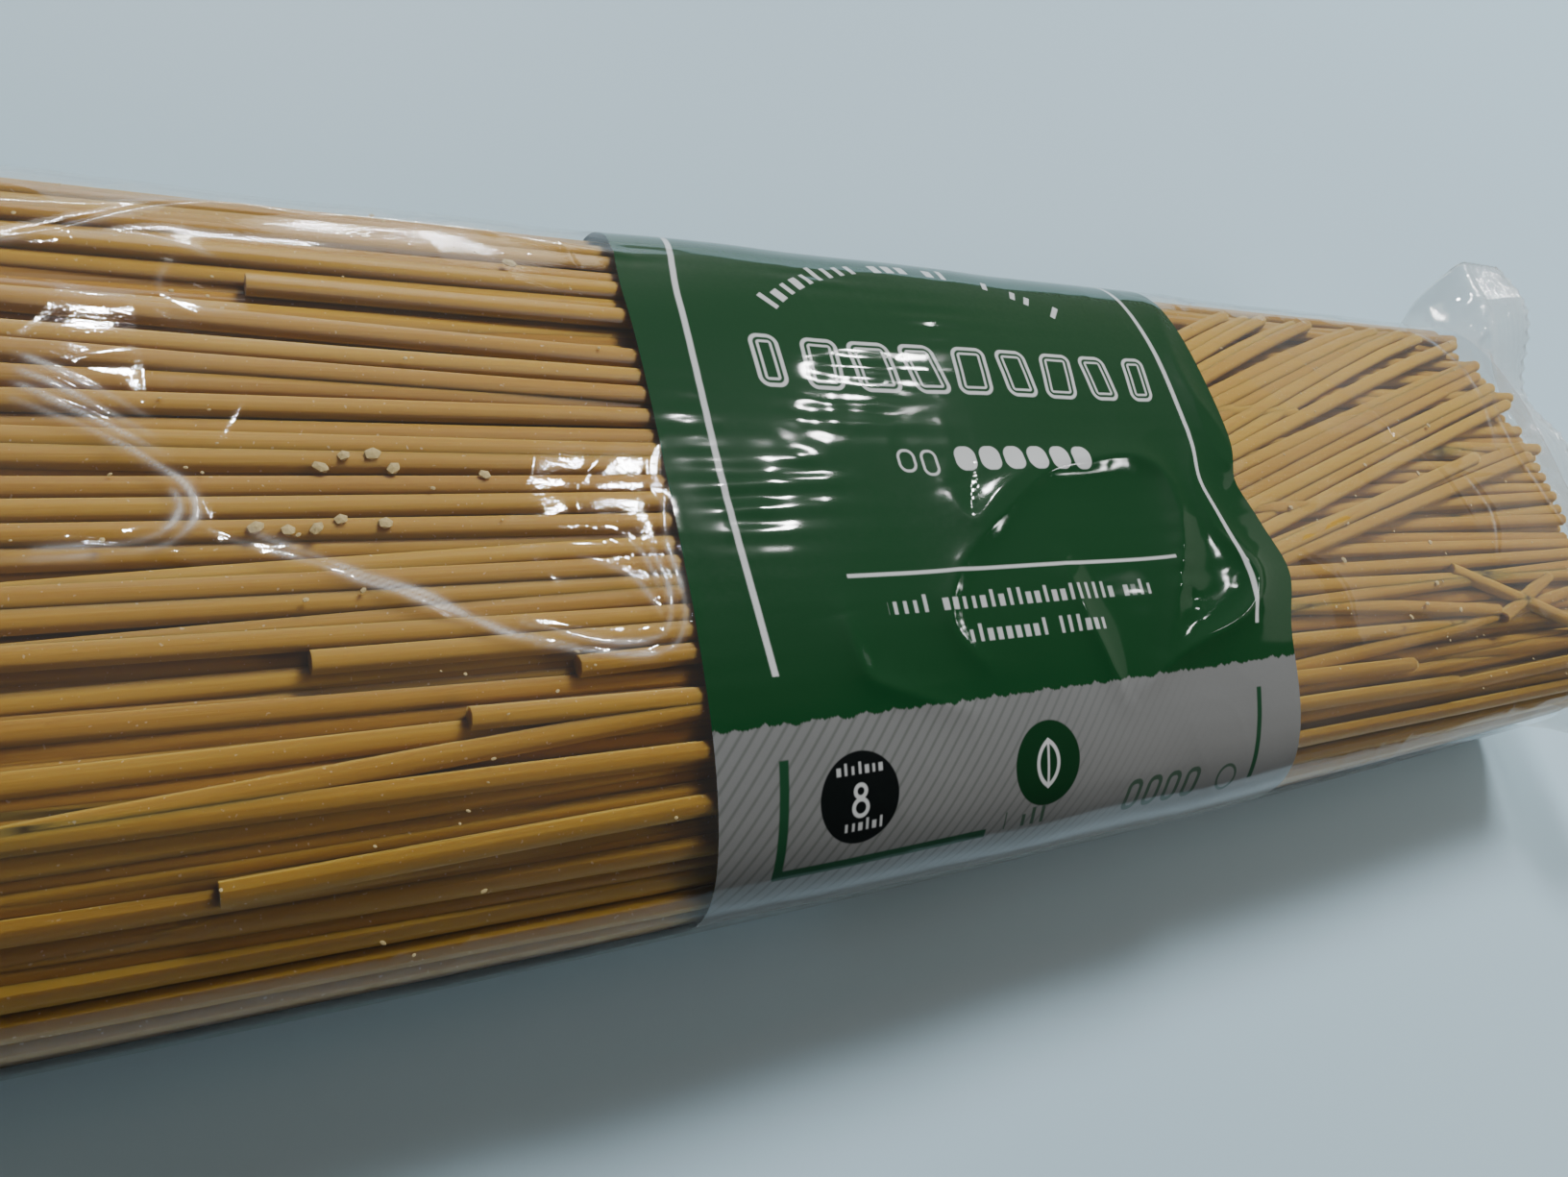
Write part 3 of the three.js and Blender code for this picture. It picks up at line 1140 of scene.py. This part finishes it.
# How the film is divided: finest where it is creased.
FRONT = span(-SIDE_FOLD, SIDE_FOLD, 0.25)
BACK_LEFT = span(-2 * SIDE_FOLD, -SIDE_FOLD, 1.2)
BACK_RIGHT = span(SIDE_FOLD, 2 * SIDE_FOLD, 1.2)
LEFT_WINDOW = np.concatenate([span(-HALF_STICK, -92, 1.0), span(-92, BAND_LEFT, 0.25)[1:]])
BAND = span(BAND_LEFT, BAND_RIGHT, 0.4)
RIGHT_WINDOW = span(BAND_RIGHT, HALF_STICK, 0.5)


def film_piece(name, blocks, look):
    mesh = sheet_mesh(name, blocks)
    mesh.materials.append(look)
    piece = show(mesh)
    belongs(piece)
    return piece


class PACKET_OT_clear_film(bpy.types.Operator):
    """Stretch the clear film over both ends of the front"""

    bl_idname = "packet.clear_film"
    bl_label = "Clear film"

    def execute(self, context):
        look = clear_finish("clear film", 0.05, 0.3)
        film_piece("clear_film_left", [(LEFT_WINDOW, FRONT)], look)
        slacker = clear_finish("clear film, slacker", 0.11, 0.3)
        film_piece("clear_film_right", [(RIGHT_WINDOW, FRONT)], slacker)
        return {"FINISHED"}


class PACKET_OT_front_print(bpy.types.Operator):
    """Wrap the printed band over the front"""

    bl_idname = "packet.front_print"
    bl_label = "Front print"

    def execute(self, context):
        look = print_finish("printed film, front", front_pattern, 0.3)
        film_piece("front_print", [(BAND, FRONT)], look)
        return {"FINISHED"}


class PACKET_OT_back_print(bpy.types.Operator):
    """Cover the resting side with its printed panel"""

    bl_idname = "packet.back_print"
    bl_label = "Back print"

    def execute(self, context):
        along = span(-HALF_STICK, HALF_STICK, 1.1)
        look = print_finish("printed film, back", back_pattern, 0.2)
        film_piece("back_print", [(along, BACK_LEFT), (along, BACK_RIGHT)], look)
        return {"FINISHED"}


class PACKET_OT_end_seals(bpy.types.Operator):
    """Close both ends with crumpled, crimped seals"""

    bl_idname = "packet.end_seals"
    bl_label = "End seals"

    def execute(self, context):
        around = span(-2 * SIDE_FOLD, 2 * SIDE_FOLD, 0.5875)
        ends = span(HALF_STICK, HALF_LENGTH, 0.36)
        look = clear_finish("crimped film", 0.4, 0.5)
        film_piece("end_seals", [(-ends[::-1], around), (ends, around)], look)
        return {"FINISHED"}


FLOOR_REACH = 2500


class PACKET_OT_stage(bpy.types.Operator):
    """Lay the floor, hang the lights and aim the camera"""

    bl_idname = "packet.stage"
    bl_label = "Stage"

    def execute(self, context):
        corners = np.array([(-1, -1, 0), (1, -1, 0), (1, 1, 0), (-1, 1, 0)]) * FLOOR_REACH
        floor = plain_mesh("floor", corners, faces=[(0, 1, 2, 3)])
        floor.materials.append(floor_finish())
        show(floor)
        for softbox in SOFTBOXES:
            add_light(*softbox)
        for name, way, size, power, *tint in GLINTS:
            add_light(name, way, 1, size, power, *tint, glint=True)
        add_world(context.scene)
        add_camera(context.scene)
        return {"FINISHED"}


# Each softbox lights the packet: its name, the way to it, how far off it hangs, its size in
# metres, its power in watts and its colour.
SOFTBOXES = (
    ("key softbox", (0.38, 0.61, 0.70), 1.6, (0.5, 0.4), 34, (0.95, 0.98, 1)),
    ("overhead fill", (0.3, 0.1, 0.95), 1.3, (0.6, 0.5), 1.4, (1, 0.86, 0.74)),
    ("right fill", (0.80, -0.42, 0.42), 0.6, (0.25, 0.2), 0.9, (1, 0.93, 0.85)),
)
# Each glint lamp hangs a metre off and only shows in the gloss of the film: its name, the way
# to it, its size and power, and its colour where it isn't white.
GLINTS = (
    ("glint far left", (-0.035, 0.615, 0.785), (0.035, 0.035), 2.2),
    ("glint beside the print", (0.36, 0.40, 0.845), (0.04, 0.03), 2),
    ("glint over the print", (0.475, 0.405, 0.78), (0.04, 0.025), 1),
    ("glint past the print", (0.54, 0.465, 0.70), (0.02, 0.03), 0.35),
    ("glint over the title", (0.56, 0.555, 0.615), (0.02, 0.02), 0.3),
    ("glint on the right fold", (0.74, 0.13, 0.66), (0.012, 0.03), 0.05),
    ("glint low behind", (0.0, 0.96, 0.26), (0.6, 0.008), 5),
    ("panel low behind", (0.01, 0.95, 0.28), (0.7, 0.2), 1.25, (1, 0.94, 0.8)),
    ("panel on the right", (0.88, 0.08, 0.46), (0.3, 0.35), 0.13, (1, 0.97, 0.9)),
)


def placed(place, right, up, back):
    """The matrix that puts an object at a place, turned to three directions."""
    return Matrix.Translation(place) @ Matrix((right, up, back)).transposed().to_4x4()


def add_light(name, way, off, size, power, tint=(1, 1, 1), glint=False):
    light = bpy.data.lights.new(name, "AREA")
    light.shape = "RECTANGLE"
    light.size, light.size_y = size
    light.energy = power
    light.color = tint
    holder = bpy.data.objects.new(name, light)
    way = Vector(way).normalized()
    along = Vector((0, 0, 1)).cross(way).normalized()
    across = way.cross(along)
    holder.matrix_world = placed(way * off, along, across, way)
    holder.visible_glossy = glint
    holder.visible_diffuse = not glint
    bpy.context.collection.objects.link(holder)


def add_world(scene):
    """A dim room that is paler behind and to the right, where the backdrop stands."""
    world = bpy.data.worlds.new("studio")
    world.use_nodes = True
    room = Tree(world.node_tree)
    way = room.node("TexCoord").outputs["Generated"]
    toward = room.node("VectorMath", {"operation": "DOT_PRODUCT"}, {0: way, 1: (0.62, 0.62, -0.55)})
    slope = {"From Min": 0.2, "From Max": 0.8, "To Min": 0.025, "To Max": 0.17}
    slope["Value"] = toward.outputs[1]
    pale = room.node("MapRange", {"interpolation_type": "SMOOTHSTEP"}, slope)
    sky = world.node_tree.nodes["Background"]
    room.plug(sky.inputs["Color"], (1.0, 0.85, 0.74, 1))
    room.plug(sky.inputs["Strength"], pale.outputs[0])
    scene.world = world


# The camera looks down on the front from beyond its lower left corner, turned on its side.
CAMERA_PLACE = (-0.0842, -0.0432, 0.1179)
CAMERA_HEADING = -59.57
CAMERA_RISE = 53.07
CAMERA_ROLL = 50.0
CAMERA_LENS = 26.48


def add_camera(scene):
    camera = bpy.data.cameras.new("camera")
    camera.sensor_width = 36
    camera.lens = CAMERA_LENS
    camera.clip_start = 0.005
    heading, rise, roll = (radians(a) for a in (CAMERA_HEADING, CAMERA_RISE, CAMERA_ROLL))
    back = Vector((sin(heading) * cos(rise), -cos(heading) * cos(rise), sin(rise)))
    right = Vector((0, 0, 1)).cross(back).normalized()
    up = back.cross(right)
    turned_right = cos(roll) * right + sin(roll) * up
    turned_up = cos(roll) * up - sin(roll) * right
    holder = bpy.data.objects.new("camera", camera)
    holder.matrix_world = placed(Vector(CAMERA_PLACE), turned_right, turned_up, back)
    scene.collection.objects.link(holder)
    scene.camera = holder


OPERATORS = (
    PACKET_OT_spaghetti,
    PACKET_OT_broken_sticks,
    PACKET_OT_crumbs,
    PACKET_OT_clear_film,
    PACKET_OT_front_print,
    PACKET_OT_back_print,
    PACKET_OT_end_seals,
    PACKET_OT_stage,
)


class PACKET_PT_build(bpy.types.Panel):
    """Lists the packet's pieces and its main settings"""

    bl_label = "Spaghetti packet"
    bl_space_type = "VIEW_3D"
    bl_region_type = "UI"
    bl_category = "Packet"

    def draw(self, context):
        column = self.layout.column()
        for name in PacketSettings.__annotations__:
            column.prop(context.scene.spaghetti_packet, name)
        for operator in OPERATORS:
            column.operator(operator.bl_idname)


def register():
    for item in (PacketSettings, *OPERATORS, PACKET_PT_build):
        bpy.utils.register_class(item)
    bpy.types.Scene.spaghetti_packet = bpy.props.PointerProperty(type=PacketSettings)


def unregister():
    del bpy.types.Scene.spaghetti_packet
    for item in (PACKET_PT_build, *reversed(OPERATORS), PacketSettings):
        bpy.utils.unregister_class(item)


def main():
    register()
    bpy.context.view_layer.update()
    for operator in OPERATORS:
        group, name = operator.bl_idname.split(".")
        getattr(getattr(bpy.ops, group), name)()


if __name__ == "__main__":
    main()
